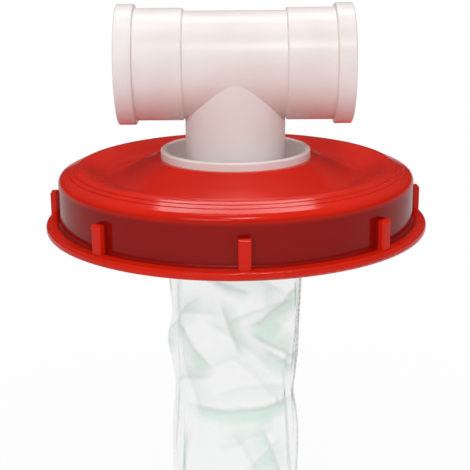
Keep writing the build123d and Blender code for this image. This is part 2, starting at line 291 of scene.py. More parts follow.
@dataclass(frozen=True)
class MouldedPolyethylene(Finish):
    """Injection-moulded HDPE: half gloss, smooth crown, and painted shade that makes the skirt's
    wall deeper and duller.

    Attributes:
        cloud_colour: Tone of the faint flow clouds, sRGB hex.
        wall_shade_colour: Painted shade on the skirt's wall, a darker red, sRGB hex.
        wall_radius: Where the wall's face ends and the brim and lugs begin, in metres.
        wall_height: Height of the wall's upper end, in metres.
        radius_blend: How far the wall's painted shade fades out sideways, in metres.
        height_blend: How far it fades out upwards, in metres.
        flow_size: Size of the flow clouds, in metres.
        scuff_size: Size of the handling scuffs, in metres.
        polish: How far the roughness falls between the scuffs.
        wear: How far it rises in them.
        wave_size: Distance between the skin's sink waves, in metres.
        wave_depth: Depth of those waves, in metres.
    """

    cloud_colour: str = "D2200E"
    # Painted shade: the skirt's upright wall is a darker red than the crown.
    wall_shade_colour: str = "920F08"
    wall_radius: float = 90.4 * MM
    wall_height: float = 2.0 * MM
    radius_blend: float = 1.2 * MM
    height_blend: float = 3.5 * MM
    flow_size: float = 38 * MM
    scuff_size: float = 5 * MM
    polish: float = 0.02
    wear: float = 0.05
    wave_size: float = 14 * MM
    wave_depth: float = 0.03 * MM

    def wall_shade_mask(self, tree: bpy.types.NodeTree) -> bpy.types.NodeSocket:
        """Mark the skirt's wall between its brim and its shoulder, where shade is painted.

        Args:
            tree: The material's nodes.

        Returns:
            An output that is 1 on the wall.
        """
        place = add_node(tree, "ShaderNodeTexCoord").outputs["Object"]
        split = add_node(tree, "ShaderNodeSeparateXYZ", {"Vector": place})
        flat = add_node(
            tree, "ShaderNodeCombineXYZ", {"X": split.outputs["X"], "Y": split.outputs["Y"]}
        )
        radius = add_node(
            tree, "ShaderNodeVectorMath", {0: flat.outputs["Vector"]}, operation="LENGTH"
        )
        inside = add_node(
            tree,
            "ShaderNodeMapRange",
            {
                "Value": radius.outputs["Value"],
                "From Min": self.wall_radius,
                "From Max": self.wall_radius + self.radius_blend,
                "To Min": 1.0,
                "To Max": 0.0,
            },
        )
        below = add_node(
            tree,
            "ShaderNodeMapRange",
            {
                "Value": split.outputs["Z"],
                "From Min": self.wall_height - self.height_blend,
                "From Max": self.wall_height,
                "To Min": 1.0,
                "To Max": 0.0,
            },
        )
        both = add_node(
            tree,
            "ShaderNodeMath",
            {0: inside.outputs["Result"], 1: below.outputs["Result"]},
            operation="MULTIPLY",
        )
        return both.outputs[0]

    def material(self) -> bpy.types.Material:
        """Make the material.

        Returns:
            Red polyethylene with flow clouds, fine handling scuffs and painted shade on the
            skirt's wall.
        """
        material, shader = self.start()
        tree = material.node_tree
        # The crown was moulded against polished steel, but its skin is waxy: the specular
        # level is low, so lamps show as narrow bands and the plastic stays deep red.
        flow = self.cloud(tree, self.flow_size, detail=3.0)
        crown = self.mix(
            tree, flow, low=0.3, high=0.75, first=self.cloud_colour, second=self.colour
        )
        # Painted shade: this mask darkens the skirt's wall, which turns away from the light above.
        colour = add_node(
            tree, "ShaderNodeMix", {"Factor": self.wall_shade_mask(tree)}, data_type="RGBA"
        )
        tree.links.new(crown, colour.inputs["A"])
        colour.inputs["B"].default_value = linear(self.wall_shade_colour)
        tree.links.new(colour.outputs["Result"], shader.inputs["Base Color"])
        # Scuffs from gloves and shelves change the gloss a little, not the colour.
        scuffs = self.cloud(tree, self.scuff_size, detail=6.0)
        rough = add_node(
            tree,
            "ShaderNodeMapRange",
            {
                "Value": scuffs,
                "From Min": 0.35,
                "From Max": 0.8,
                "To Min": self.roughness - self.polish,
                "To Max": self.roughness + self.wear,
            },
        )
        tree.links.new(rough.outputs["Result"], shader.inputs["Roughness"])
        # The skin sank a little unevenly as it cooled, which bends the bands of light.
        waves = self.cloud(tree, self.wave_size, detail=0.0)
        self.relief(tree, shader, waves, self.wave_depth, strength=0.06)
        return material


@dataclass(frozen=True)
class MouldedPvc(Finish):
    """Rigid PVC pipe fitting: warm white, satin, with the line where the mould closed.

    Attributes:
        warm_colour: The warmer of its two tones, sRGB hex.
        parting_axis: The axis that the mould opened along, or None for no line.
        toning_size: Size of the warm patches, in metres.
        skin_size: Size of the skin's fine texture, in metres.
        skin_depth: Depth of that texture, in metres.
        line_width: Width of the parting line from its middle, in metres.
        line_height: How far the parting line stands proud, in metres.
    """

    warm_colour: str = "EFE4E0"
    parting_axis: int | None = None
    toning_size: float = 30 * MM
    skin_size: float = 1.6 * MM
    skin_depth: float = 0.02 * MM
    line_width: float = 0.3 * MM
    line_height: float = 0.08 * MM

    def material(self) -> bpy.types.Material:
        """Make the material.

        Returns:
            White PVC with soft toning, fine skin texture and an optional parting line.
        """
        material, shader = self.start()
        tree = material.node_tree
        toning = self.cloud(tree, self.toning_size, detail=2.0)
        colour = self.mix(
            tree, toning, low=0.3, high=0.7, first=self.warm_colour, second=self.colour
        )
        tree.links.new(colour, shader.inputs["Base Color"])
        skin = self.cloud(tree, self.skin_size, detail=3.0)
        self.relief(tree, shader, skin, self.skin_depth, strength=0.5)
        if self.parting_axis is not None:
            place = add_node(tree, "ShaderNodeTexCoord").outputs["Object"]
            split = add_node(tree, "ShaderNodeSeparateXYZ", {"Vector": place})
            distance = add_node(
                tree, "ShaderNodeMath", {0: split.outputs[self.parting_axis]}, operation="ABSOLUTE"
            )
            line = add_node(
                tree,
                "ShaderNodeMapRange",
                {
                    "Value": distance.outputs[0],
                    "From Min": self.line_width / 3,
                    "From Max": self.line_width,
                    "To Min": 1.0,
                    "To Max": 0.0,
                },
            )
            self.relief(tree, shader, line.outputs["Result"], self.line_height, strength=0.8)
        return material


@dataclass(frozen=True)
class MouldedRubber(Finish):
    """Black rubber: near black, matt, with a dusty bloom.

    Attributes:
        bloom_colour: Tone of the bloom, sRGB hex.
        bloom_size: Size of its patches, in metres.
        grain_size: Size of the skin's grain, in metres.
        grain_depth: Depth of the grain, in metres.
    """

    bloom_colour: str = "3A3A3C"
    bloom_size: float = 9 * MM
    grain_size: float = 0.7 * MM
    grain_depth: float = 0.03 * MM

    def material(self) -> bpy.types.Material:
        """Make the material.

        Returns:
            Black rubber with a patchy grey bloom and a fine grain.
        """
        material, shader = self.start()
        tree = material.node_tree
        bloom = self.cloud(tree, self.bloom_size, detail=5.0)
        colour = self.mix(
            tree, bloom, low=0.45, high=0.85, first=self.colour, second=self.bloom_colour
        )
        tree.links.new(colour, shader.inputs["Base Color"])
        grain = self.cloud(tree, self.grain_size, detail=2.0)
        self.relief(tree, shader, grain, self.grain_depth, strength=0.6)
        return material


@dataclass(frozen=True)
class RolledStainless(Finish):
    """Cold-rolled stainless strip: bright, with fine lines along the strip.

    Attributes:
        shade_colour: Tone between the lines, sRGB hex.
        line_size: Distance between the lines, in metres.
        line_depth: Depth of the lines, in metres.
        stretch: Factors that lengthen the lines round the band and keep them thin in height.
    """

    shade_colour: str = "9A9894"
    line_size: float = 0.9 * MM
    line_depth: float = 0.02 * MM
    stretch: tuple[float, float, float] = (14, 14, 0.35)

    def material(self) -> bpy.types.Material:
        """Make the material.

        Returns:
            Brushed stainless steel, its lines running round the lid's axis.
        """
        material, shader = self.start()
        tree = material.node_tree
        shader.inputs["Metallic"].default_value = 1.0
        lines = self.cloud(tree, self.line_size, detail=3.0, stretch=Vector(self.stretch))
        colour = self.mix(
            tree, lines, low=0.3, high=0.7, first=self.shade_colour, second=self.colour
        )
        tree.links.new(colour, shader.inputs["Base Color"])
        self.relief(tree, shader, lines, self.line_depth, strength=0.5)
        return material


@dataclass(frozen=True)
class WovenNylon(Finish):
    """Woven monofilament nylon: sheer and nearly white, denser where it folds, with painted mint
    shade on fold facets and grey-green along creases.

    Attributes:
        fold_shade_colour: Painted shade on the facets that turn away from the light, sRGB hex.
        crease_shade_colour: Painted shade along the sharp creases, sRGB hex.
        thread_pitch: Distance between drawn threads, in metres.
        thread_height: How far the threads stand out, in metres.
        alpha: Opacity of one face of the cloth.
        facet_shade_share: Opacity that a facet with painted shade adds.
        crease_shade_share: Opacity that a sharp crease with painted shade adds.
    """

    # Painted shade: mint on the facets of folds, grey-green along sharp creases.
    fold_shade_colour: str = "8FEACB"
    crease_shade_colour: str = "BFD3CE"
    # The real cloth has threads 0.25 mm apart; they are drawn coarser so that they show.
    thread_pitch: float = 0.8 * MM
    thread_height: float = 0.06 * MM
    alpha: float = 0.075
    facet_shade_share: float = 0.12
    crease_shade_share: float = 0.2

    def threads(self, tree: bpy.types.NodeTree) -> bpy.types.NodeSocket:
        """Draw the weave from the cloth's own UV map, which is in metres.

        Args:
            tree: The material's nodes.

        Returns:
            An output that is 1 on a thread and 0 in the holes.
        """
        uv = add_node(tree, "ShaderNodeUVMap", uv_map="cloth").outputs["UV"]
        split = add_node(tree, "ShaderNodeSeparateXYZ", {"Vector": uv})
        waves = []
        for axis in ("X", "Y"):
            turn = add_node(
                tree,
                "ShaderNodeMath",
                {0: split.outputs[axis], 1: math.pi / self.thread_pitch},
                operation="MULTIPLY",
            )
            wave = add_node(tree, "ShaderNodeMath", {0: turn.outputs[0]}, operation="SINE")
            square = add_node(
                tree,
                "ShaderNodeMath",
                {0: wave.outputs[0], 1: wave.outputs[0]},
                operation="MULTIPLY",
            )
            waves.append(square.outputs[0])
        return add_node(
            tree, "ShaderNodeMath", {0: waves[0], 1: waves[1]}, operation="MAXIMUM"
        ).outputs[0]

    def material(self) -> bpy.types.Material:
        """Make the material.

        Returns:
            A sheer mesh with painted shade on its fold facets and along its creases, where it is
            also denser.
        """
        material, shader = self.start()
        tree = material.node_tree
        shader.inputs["Sheen Roughness"].default_value = 0.4
        # The fold and crease attributes carry painted shade, which these colours stand in for.
        fold = add_node(tree, "ShaderNodeAttribute", attribute_name="fold").outputs["Fac"]
        crease = add_node(tree, "ShaderNodeAttribute", attribute_name="crease").outputs["Fac"]
        shaded_facets = self.mix(
            tree, fold, low=0.05, high=0.95, first=self.colour, second=self.fold_shade_colour
        )
        colour = add_node(tree, "ShaderNodeMix", {"Factor": crease}, data_type="RGBA")
        tree.links.new(shaded_facets, colour.inputs["A"])
        colour.inputs["B"].default_value = linear(self.crease_shade_colour)
        tree.links.new(colour.outputs["Result"], shader.inputs["Base Color"])
        weave = self.threads(tree)
        opacity = add_node(
            tree,
            "ShaderNodeMapRange",
            {
                "Value": weave,
                "To Min": self.alpha * HOLE_SHARE,
                "To Max": self.alpha * THREAD_SHARE,
            },
        ).outputs["Result"]
        for mask, more in ((fold, self.facet_shade_share), (crease, self.crease_shade_share)):
            opacity = add_node(
                tree,
                "ShaderNodeMath",
                {0: mask, 1: more, 2: opacity},
                operation="MULTIPLY_ADD",
                use_clamp=True,
            ).outputs[0]
        tree.links.new(opacity, shader.inputs["Alpha"])
        self.relief(tree, shader, weave, self.thread_height, strength=0.3)
        return material


@dataclass(frozen=True)
class WovenTape(Finish):
    """Polyester tape: dense plain weave, matt, a little soiled.

    Attributes:
        shade_colour: Tone of every second crossing, sRGB hex.
        thread_pitch: Distance between drawn threads, in metres.
        thread_height: How far every second crossing stands out, in metres.
    """

    shade_colour: str = "C9CFCE"
    # The real tape has threads 0.4 mm apart; they are drawn coarser so that they show.
    thread_pitch: float = 0.9 * MM
    thread_height: float = 0.08 * MM

    def material(self) -> bpy.types.Material:
        """Make the material.

        Returns:
            A close weave that follows the tape's own UV map, in metres.
        """
        material, shader = self.start()
        tree = material.node_tree
        uv = add_node(tree, "ShaderNodeUVMap", uv_map="cloth").outputs["UV"]
        checks = add_node(
            tree,
            "ShaderNodeTexChecker",
            {
                "Vector": uv,
                "Scale": 1 / self.thread_pitch,
                "Color1": linear(self.colour),
                "Color2": linear(self.shade_colour),
            },
        )
        tree.links.new(checks.outputs["Color"], shader.inputs["Base Color"])
        self.relief(tree, shader, checks.outputs["Fac"], self.thread_height, strength=0.6)
        return material


@dataclass(frozen=True)
class SewingThread(Finish):
    """Spun polyester thread: white, soft, with a fine grain from its fibres.

    Attributes:
        shade_colour: Tone between the fibres, sRGB hex.
        grain_size: Size of the grain, in metres.
    """

    shade_colour: str = "D9DEDD"
    grain_size: float = 0.3 * MM

    def material(self) -> bpy.types.Material:
        """Make the material.

        Returns:
            Matt white thread with a fine grain.
        """
        material, shader = self.start()
        tree = material.node_tree
        grain = self.cloud(tree, self.grain_size, detail=1.0)
        colour = self.mix(
            tree, grain, low=0.3, high=0.7, first=self.shade_colour, second=self.colour
        )
        tree.links.new(colour, shader.inputs["Base Color"])
        return material


class Slot(Enum):
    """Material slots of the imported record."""

    MESH = "nylon_mesh"
    TAPE = "cuff_tape"


class Body(Enum):
    """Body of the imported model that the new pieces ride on."""

    LID = "lid"


# ------------------------------------------------------------------ stitches
@dataclass(frozen=True)
class StitchRun:
    """Thread stitches laid along a line by a Geometry Nodes tree.

    Attributes:
        pitch: Distance from one stitch to the next, in metres.
        length: Length of each stitch, in metres.
        radius: Radius of the thread, in metres.
    """

    pitch: float = 3.2 * MM
    length: float = 2.3 * MM
    radius: float = 0.17 * MM

    def tree(self, material: bpy.types.Material) -> bpy.types.NodeTree:
        """Build the node tree that turns a line into stitches.

        Args:
            material: The thread's finish.

        Returns:
            The Geometry Nodes tree, with named inputs for its sizes.
        """
        group = bpy.data.node_groups.new("stitches", "GeometryNodeTree")
        sockets = group.interface
        sockets.new_socket("Geometry", in_out="INPUT", socket_type="NodeSocketGeometry")
        for name in ("Pitch", "Length", "Radius"):
            sockets.new_socket(name, in_out="INPUT", socket_type="NodeSocketFloat")
        sockets.new_socket("Geometry", in_out="OUTPUT", socket_type="NodeSocketGeometry")
        start = add_node(group, "NodeGroupInput").outputs
        line = add_node(group, "GeometryNodeMeshToCurve", {"Mesh": start["Geometry"]})
        points = add_node(
            group,
            "GeometryNodeResampleCurve",
            {"Curve": line.outputs["Curve"], "Length": start["Pitch"]},
            mode="LENGTH",
        )
        tangent = add_node(group, "GeometryNodeInputTangent")
        along = add_node(
            group,
            "FunctionNodeAlignRotationToVector",
            {"Vector": tangent.outputs["Tangent"]},
            axis="Z",
        )
        capsule = add_node(
            group,
            "GeometryNodeMeshUVSphere",
            {"Segments": 6, "Rings": 5, "Radius": 1.0},
        )
        half = add_node(
            group, "ShaderNodeMath", {0: start["Length"], 1: 0.5}, operation="MULTIPLY"
        )
        size = add_node(
            group,
            "ShaderNodeCombineXYZ",
            {"X": start["Radius"], "Y": start["Radius"], "Z": half.outputs[0]},
        )
        stitches = add_node(
            group,
            "GeometryNodeInstanceOnPoints",
            {
                "Points": points.outputs["Curve"],
                "Instance": capsule.outputs["Mesh"],
                "Rotation": along.outputs["Rotation"],
                "Scale": size.outputs["Vector"],
            },
        )
        real = add_node(
            group, "GeometryNodeRealizeInstances", {"Geometry": stitches.outputs["Instances"]}
        )
        soft = add_node(group, "GeometryNodeSetShadeSmooth", {"Geometry": real.outputs[0]})
        done = add_node(
            group,
            "GeometryNodeSetMaterial",
            {"Geometry": soft.outputs[0], "Material": material},
        )
        add_node(group, "NodeGroupOutput", {"Geometry": done.outputs["Geometry"]})
        return group

    def sew(
        self, name: str, lines: list[list[Vector]], material: bpy.types.Material
    ) -> bpy.types.Object:
        """Sew along lines.

        Args:
            name: The piece's name.
            lines: Each line's points in metres, in order.
            material: The thread's finish.

        Returns:
            One mesh of all the stitches.
        """
        mesh = bpy.data.meshes.new(name)
        points = [p for line in lines for p in line]
        edges, first = [], 0
        for line in lines:
            edges += [(first + i, first + i + 1) for i in range(len(line) - 1)]
            first += len(line)
        mesh.from_pydata([tuple(p) for p in points], edges, [])
        piece = bpy.data.objects.new(name, mesh)
        bpy.context.scene.collection.objects.link(piece)
        group = self.tree(material)
        modifier = piece.modifiers.new("stitches", "NODES")
        modifier.node_group = group
        sizes = {"Pitch": self.pitch, "Length": self.length, "Radius": self.radius}
        for item in group.interface.items_tree:
            if item.in_out == "INPUT" and item.name in sizes:
                modifier[item.identifier] = sizes[item.name]
        bake_modifiers(piece)
        return piece


# ------------------------------------------------------------------ sub-assemblies
@dataclass
class ScrewLid:
    """The red lid and its rim gasket.

    Attributes:
        skin: The lid's finish.
        rubber: The gasket's finish.
    """

    skin: MouldedPolyethylene = MouldedPolyethylene(
        "red HDPE, injection moulded", "E4240F", roughness=0.14, ior=1.54, specular=0.16
    )
    rubber: MouldedRubber = MouldedRubber("EPDM rubber, moulded", "161617", roughness=0.75)

    def build(self) -> None:
        """Dress the lid and the gasket."""
        dress("lid_shell", self.skin.material())
        dress("rim_gasket", self.rubber.material())
        log.info("lid_shell and rim_gasket dressed")


@dataclass
class VentFitting:
    """The white cup, its nut, washer and seal, and the tee.

    Attributes:
        cup_pvc: Finish of the cup and its nut.
        tee_pvc: Finish of the tee, which shows where its mould closed.
        rubber: Finish of the washer and the seal.
    """

    cup_pvc: MouldedPvc = MouldedPvc(
        "white PVC, moulded cup", "F6EFED", roughness=0.3, ior=1.53, specular=0.25
    )
    tee_pvc: MouldedPvc = MouldedPvc(
        "white PVC, moulded tee",
        "F6EFED",
        roughness=0.3,
        ior=1.53,
        specular=0.25,
        parting_axis=1,
    )
    rubber: MouldedRubber = MouldedRubber("NBR rubber, moulded", "1B1B1C", roughness=0.7)

    def build(self) -> None:
        """Dress the fitting's pieces."""
        cup = self.cup_pvc.material()
        for node in ("adapter_cup", "backnut"):
            dress(node, cup)
        dress("vent_tee", self.tee_pvc.material())
        rubber = self.rubber.material()
        for node in ("adapter_washer", "leg_seal"):
            dress(node, rubber)
        log.info("cup, nut, washer, seal and tee dressed")


@dataclass
class HoseClamp:
    """The stainless worm-drive clamp.

    Attributes:
        steel: Finish of its band, housing and screw.
    """

    steel: RolledStainless = RolledStainless(
        "stainless steel, rolled strip", "C9C7C2", roughness=0.27
    )

    def build(self) -> None:
        """Dress the clamp's pieces."""
        steel = self.steel.material()
        for node in ("clamp_band", "clamp_housing", "clamp_screw"):
            dress(node, steel)
        log.info("hose clamp dressed")


# ------------------------------------------------------------------ filter bag
# A crease fades over a fifth of its length at each end. Its sharp edge is 1.7 mm to each
# side, and its painted shade shows in full where the cloth stands out by 2.4 mm. The painted
# shade on its facet is full after a sixth of its width, and falls off by the power 0.7 from there.
END_FADE, EDGE_WIDTH, FULL_PUSH = 0.2, 1.7, 2.4
FACET_RISE, FACET_FALL = 6, 0.7


@dataclass(frozen=True)
class Crease:
    """A fold line pressed into the cloth, on the bag's unrolled side.

    Attributes:
        start: Where it begins: distance round from the front, and height.
        end: Where it ends, given the same way.
        push: How far it stands out, or in where it is negative.
        width: Half the width of the fold. All four are millimetres.
    """

    start: tuple[float, float]
    end: tuple[float, float]
    push: float
    width: float

    def press(
        self, around: np.ndarray, height: np.ndarray, girth: float
    ) -> tuple[np.ndarray, np.ndarray, np.ndarray]:
        """Press the crease into the cloth.

        Args:
            around: Distance of each point round the bag from its front.
            height: Height of each point.
            girth: Length once round the bag.

        Returns:
            The outward move of each point, and how much painted shade it takes on the facet
            to the left of the crease's course and on its sharp edge.
        """
        step = np.subtract(self.end, self.start)
        length = float(np.hypot(*step))
        step /= length
        across = (around - self.start[0] + girth / 2) % girth - girth / 2
        down = height - self.start[1]
        along = (across * step[0] + down * step[1]) / length
        aside = (down * step[0] - across * step[1]) / self.width
        fade = np.clip(along / END_FADE, 0, 1) * np.clip((1 - along) / END_FADE, 0, 1)
        slope = fade * np.clip(1 - np.abs(aside), 0, 1)
        # The facet and the sharp edge are masks for painted shade on the cloth.
        facet_shade = fade * np.clip(aside * FACET_RISE, 0, 1)
        facet_shade = facet_shade * np.clip(1 - aside, 0, 1) ** FACET_FALL
        crease_shade = fade * np.clip(1 - np.abs(aside) * self.width / EDGE_WIDTH, 0, 1)
        strength = abs(self.push) / FULL_PUSH
        return self.push * slope, facet_shade * strength, crease_shade * strength


@dataclass
class FilterBag:
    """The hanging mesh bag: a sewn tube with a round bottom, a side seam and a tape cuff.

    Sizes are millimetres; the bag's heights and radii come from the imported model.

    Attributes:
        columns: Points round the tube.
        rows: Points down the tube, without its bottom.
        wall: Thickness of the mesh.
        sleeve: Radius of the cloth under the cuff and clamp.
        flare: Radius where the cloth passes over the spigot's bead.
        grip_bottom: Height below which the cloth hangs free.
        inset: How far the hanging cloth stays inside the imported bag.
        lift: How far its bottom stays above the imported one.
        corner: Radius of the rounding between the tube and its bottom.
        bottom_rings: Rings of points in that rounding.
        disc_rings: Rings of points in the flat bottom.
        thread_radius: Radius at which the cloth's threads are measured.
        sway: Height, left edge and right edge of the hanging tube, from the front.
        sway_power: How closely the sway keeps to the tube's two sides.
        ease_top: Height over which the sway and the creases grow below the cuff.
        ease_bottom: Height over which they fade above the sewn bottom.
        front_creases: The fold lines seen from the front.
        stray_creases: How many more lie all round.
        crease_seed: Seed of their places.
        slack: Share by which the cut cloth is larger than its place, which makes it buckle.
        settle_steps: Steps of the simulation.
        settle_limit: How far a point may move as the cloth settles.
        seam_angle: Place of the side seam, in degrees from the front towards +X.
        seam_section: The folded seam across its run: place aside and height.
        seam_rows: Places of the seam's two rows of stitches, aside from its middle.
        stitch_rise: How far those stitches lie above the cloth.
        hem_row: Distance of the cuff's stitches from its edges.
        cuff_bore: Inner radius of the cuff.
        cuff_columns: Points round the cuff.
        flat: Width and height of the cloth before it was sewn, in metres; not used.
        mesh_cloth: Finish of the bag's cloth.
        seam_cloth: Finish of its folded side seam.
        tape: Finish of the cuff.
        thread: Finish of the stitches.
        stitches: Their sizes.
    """

    columns: int = 144
    rows: int = 140
    wall: float = 0.3
    sleeve: float = 35.1
    flare: float = 36.0
    grip_bottom: float = -37.0
    inset: float = 0.8
    lift: float = 0.4
    corner: float = 16.0
    bottom_rings: int = 9
    disc_rings: int = 5
    thread_radius: float = 35.6
    sway: tuple[tuple[float, float, float], ...] = (
        (-37.0, -35.6, 35.6),
        (-56.5, -35.7, 35.2),
        (-69.8, -32.8, 34.0),
        (-88.0, -36.0, 32.4),
        (-98.0, -34.3, 30.6),
        (-110.0, -33.0, 26.6),
        (-117.0, -34.4, 30.0),
        (-134.0, -37.0, 34.6),
        (-165.0, -35.3, 33.9),
        (-195.0, -33.8, 35.6),
        (-230.0, -35.6, 35.2),
    )
    sway_power: float = 2.5
    ease_top: float = 8.0
    ease_bottom: float = 14.0
    front_creases: tuple[Crease, ...] = (
        Crease((40.0, -49.0), (3.0, -70.0), 3.0, 13.0),
        Crease((5.0, -71.0), (40.0, -92.0), -2.6, 12.0),
        Crease((40.0, -99.0), (12.0, -79.0), 2.0, 9.0),
        Crease((-8.0, -54.0), (2.0, -84.0), 2.2, 7.0),
        Crease((8.0, -51.0), (-14.0, -42.0), 1.8, 6.0),
        Crease((-36.0, -78.0), (-31.0, -44.0), 2.0, 8.0),
        Crease((44.0, -114.5), (-32.0, -113.0), -3.0, 8.0),
        Crease((-12.0, -92.0), (-40.0, -70.0), -2.2, 8.0),
        Crease((30.0, -160.0), (12.0, -120.0), 2.2, 9.0),
        Crease((-36.0, -166.0), (-26.0, -124.0), 2.2, 9.0),
    )
    stray_creases: int = 26
    crease_seed: int = 11
    slack: float = 0.008
    settle_steps: int = 18
    settle_limit: float = 5.0
    seam_angle: float = 75.0
    seam_section: tuple[tuple[float, float], ...] = (
        (-2.0, 0.05),
        (-1.7, 0.4),
        (-0.2, 0.55),
        (0.3, 0.45),
        (1.7, 0.4),
        (2.0, 0.05),
    )
    seam_rows: tuple[float, float] = (-1.2, 1.2)
    stitch_rise: float = 0.6
    hem_row: float = 1.0
    cuff_bore: float = 35.62
    cuff_columns: int = 180
    flat: tuple[float, float] = (0.226, 0.236)
    mesh_cloth: WovenNylon = WovenNylon(
        "nylon mesh, woven monofilament",
        "F7FCFB",
        roughness=0.6,
        ior=1.53,
        specular=0.3,
        sheen=0.5,
    )
    seam_cloth: WovenNylon = WovenNylon(
        "nylon mesh, folded seam",
        "F8FCFB",
        roughness=0.6,
        ior=1.53,
        specular=0.3,
        sheen=0.5,
        alpha=0.2,
    )
    tape: WovenTape = WovenTape("polyester tape, woven", "E6E9E8", roughness=0.75, sheen=0.3)
    thread: SewingThread = SewingThread(
        "polyester thread, spun", "F3F5F4", roughness=0.7, sheen=0.4
    )
    stitches: StitchRun = StitchRun()

    def profile(self) -> list[tuple[float, float]]:
        """Radius and height of the cloth's middle, from its top edge to its centre below.

        Returns:
            One pair for each ring of points.
        """
        low, high = (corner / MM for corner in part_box("filter_bag"))
        hang = high.x - self.inset
        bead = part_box("adapter_cup")[0].z / MM
        # Straight down the spigot, out over the bead at its end, and then free.
        grip = [
            (self.sleeve, high.z),
            (self.sleeve, high.z - 4.5),
            (self.sleeve, high.z - 9.0),
            (self.sleeve, bead + 4.4),
            (self.flare, bead + 3.0),
            (self.flare, bead + 1.0),
            (self.flare, bead - 2.0),
            (hang, self.grip_bottom),
        ]
        bottom = low.z + self.lift
        step = (self.grip_bottom - bottom - self.corner) / self.rows
        tube = [(hang, self.grip_bottom - step * (row + 1)) for row in range(self.rows)]
        centre = hang - self.corner
        angles = [
            math.pi / 2 * ring / self.bottom_rings for ring in range(1, self.bottom_rings + 1)
        ]
        turn = [
            (
                centre + self.corner * math.cos(angle),
                bottom + self.corner - self.corner * math.sin(angle),
            )
            for angle in angles
        ]
        disc = [
            (centre * (1 - ring / (self.disc_rings + 1)), bottom)
            for ring in range(1, self.disc_rings + 1)
        ]
        return grip + tube + turn + disc

    def strays(self, girth: float, top: float, bottom: float) -> list[Crease]:
        """Scatter the lesser creases.

        Args:
            girth: Length once round the bag.
            top: Height of the highest crease.
            bottom: Height of the lowest crease.

        Returns:
            Creases in every direction, the same ones each run.
        """
        chance = random.Random(self.crease_seed)
        found = []
        for _ in range(self.stray_creases):
            around, height = chance.uniform(0, girth), chance.uniform(bottom, top)
            turn, reach = chance.uniform(0, math.pi), chance.uniform(18, 42)
            run, rise = reach * math.cos(turn), reach * math.sin(turn)
            push = chance.choice((-1, 1)) * chance.uniform(0.7, 1.9)
            found.append(
                Crease(
                    (around - run, height - rise),
                    (around + run, height + rise),
                    push,
                    chance.uniform(7, 14),
                )
            )
        return found

    def points(self) -> tuple[np.ndarray, np.ndarray, np.ndarray, np.ndarray]:
        """Place the cloth before it settles.

        Returns:
            The points by ring and column, each ring's distance down the cloth, and each
            point's share of painted shade on a facet and along a sharp crease.
        """
        rings = np.array(self.profile())
        turn = np.arange(self.columns) / self.columns * 2 * math.pi
        radius, height = rings[:, :1], rings[:, 1:]
        hang = float(radius.max())
        heights = np.array([-place[0] for place in self.sway])
        left = np.interp(-rings[:, 1], heights, [-place[1] for place in self.sway])
        right = np.interp(-rings[:, 1], heights, [place[2] for place in self.sway])
        free = np.clip((self.grip_bottom - height) / self.ease_top, 0, 1)
        free = free * np.clip((height - rings[:, 1].min()) / self.ease_bottom, 0, 1)
        side = np.sin(turn)[None, :]
        wide = (right[:, None] - hang) * np.clip(side, 0, 1) ** self.sway_power
        wide = wide + (left[:, None] - hang) * np.clip(-side, 0, 1) ** self.sway_power
        girth = 2 * math.pi * hang
        around = turn[None, :] * hang + 0 * height
        level = height + 0 * around
        creases = list(self.front_creases)
        creases += self.strays(girth, self.grip_bottom, float(rings[:, 1].min()))
        pressed = [crease.press(around, level, girth) for crease in creases]
        lift = sum(parts[0] for parts in pressed)
        facet_shade = np.clip(sum(parts[1] for parts in pressed), 0, 1) * free
        crease_shade = np.clip(sum(parts[2] for parts in pressed), 0, 1) * free
        shift = np.where(radius > hang - 1, wide + lift, lift) * free
        spread = radius + shift
        place = np.stack([spread * np.sin(turn), -spread * np.cos(turn), level], axis=2)
        down = np.concatenate([[0], np.cumsum(np.hypot(*np.diff(rings, axis=0).T))])
        return place * MM, down * MM, facet_shade, crease_shade

    def cloth(self) -> bpy.types.Object:
        """Make the tube with its bottom, and its UV map along the threads.

        Returns:
            The cloth before it settles.
        """
        place, down, facet_shade, crease_shade = self.points()
        count = len(place)
        vertices = [Vector(p) for p in place.reshape(-1, 3)]
        centre = Vector((0, 0, float(place[-1, :, 2].mean())))
        vertices.append(centre)
        faces = []
        for ring in range(count - 1):
            for column in range(self.columns):
                beside = (column + 1) % self.columns
                a, b = ring * self.columns + column, ring * self.columns + beside
                faces.append((a, a + self.columns, b + self.columns, b))
        last = (count - 1) * self.columns
        for column in range(self.columns):
            beside = (column + 1) % self.columns
            faces.append((last + column, len(vertices) - 1, last + beside))
        piece = new_object("bag_mesh_cloth", vertices, faces)
        # The fold and crease attributes carry the painted shade into the cloth's material.
        for name, share in (("fold", facet_shade), ("crease", crease_shade)):
            layer = piece.data.attributes.new(name, "FLOAT", "POINT")
            layer.data.foreach_set("value", np.append(share, 0).astype(np.float32))
        uv = piece.data.uv_layers.new(name="cloth")
        girth = 2 * math.pi * self.thread_radius * MM
        for polygon in piece.data.polygons:
            for corner in polygon.loop_indices:
                point = piece.data.loops[corner].vertex_index
                if point == len(vertices) - 1:
                    uv.data[corner].uv = (0, down[-1])
                    continue
                ring, column = divmod(point, self.columns)
                if column == 0 and polygon.index % self.columns == self.columns - 1:
                    column = self.columns
                uv.data[corner].uv = (girth * column / self.columns, down[ring])
        return piece

    def settle(self, piece: bpy.types.Object) -> None:
        """Let the slack cloth buckle between its cuff and its sewn bottom.

        Args:
            piece: The cloth, which is changed.
        """
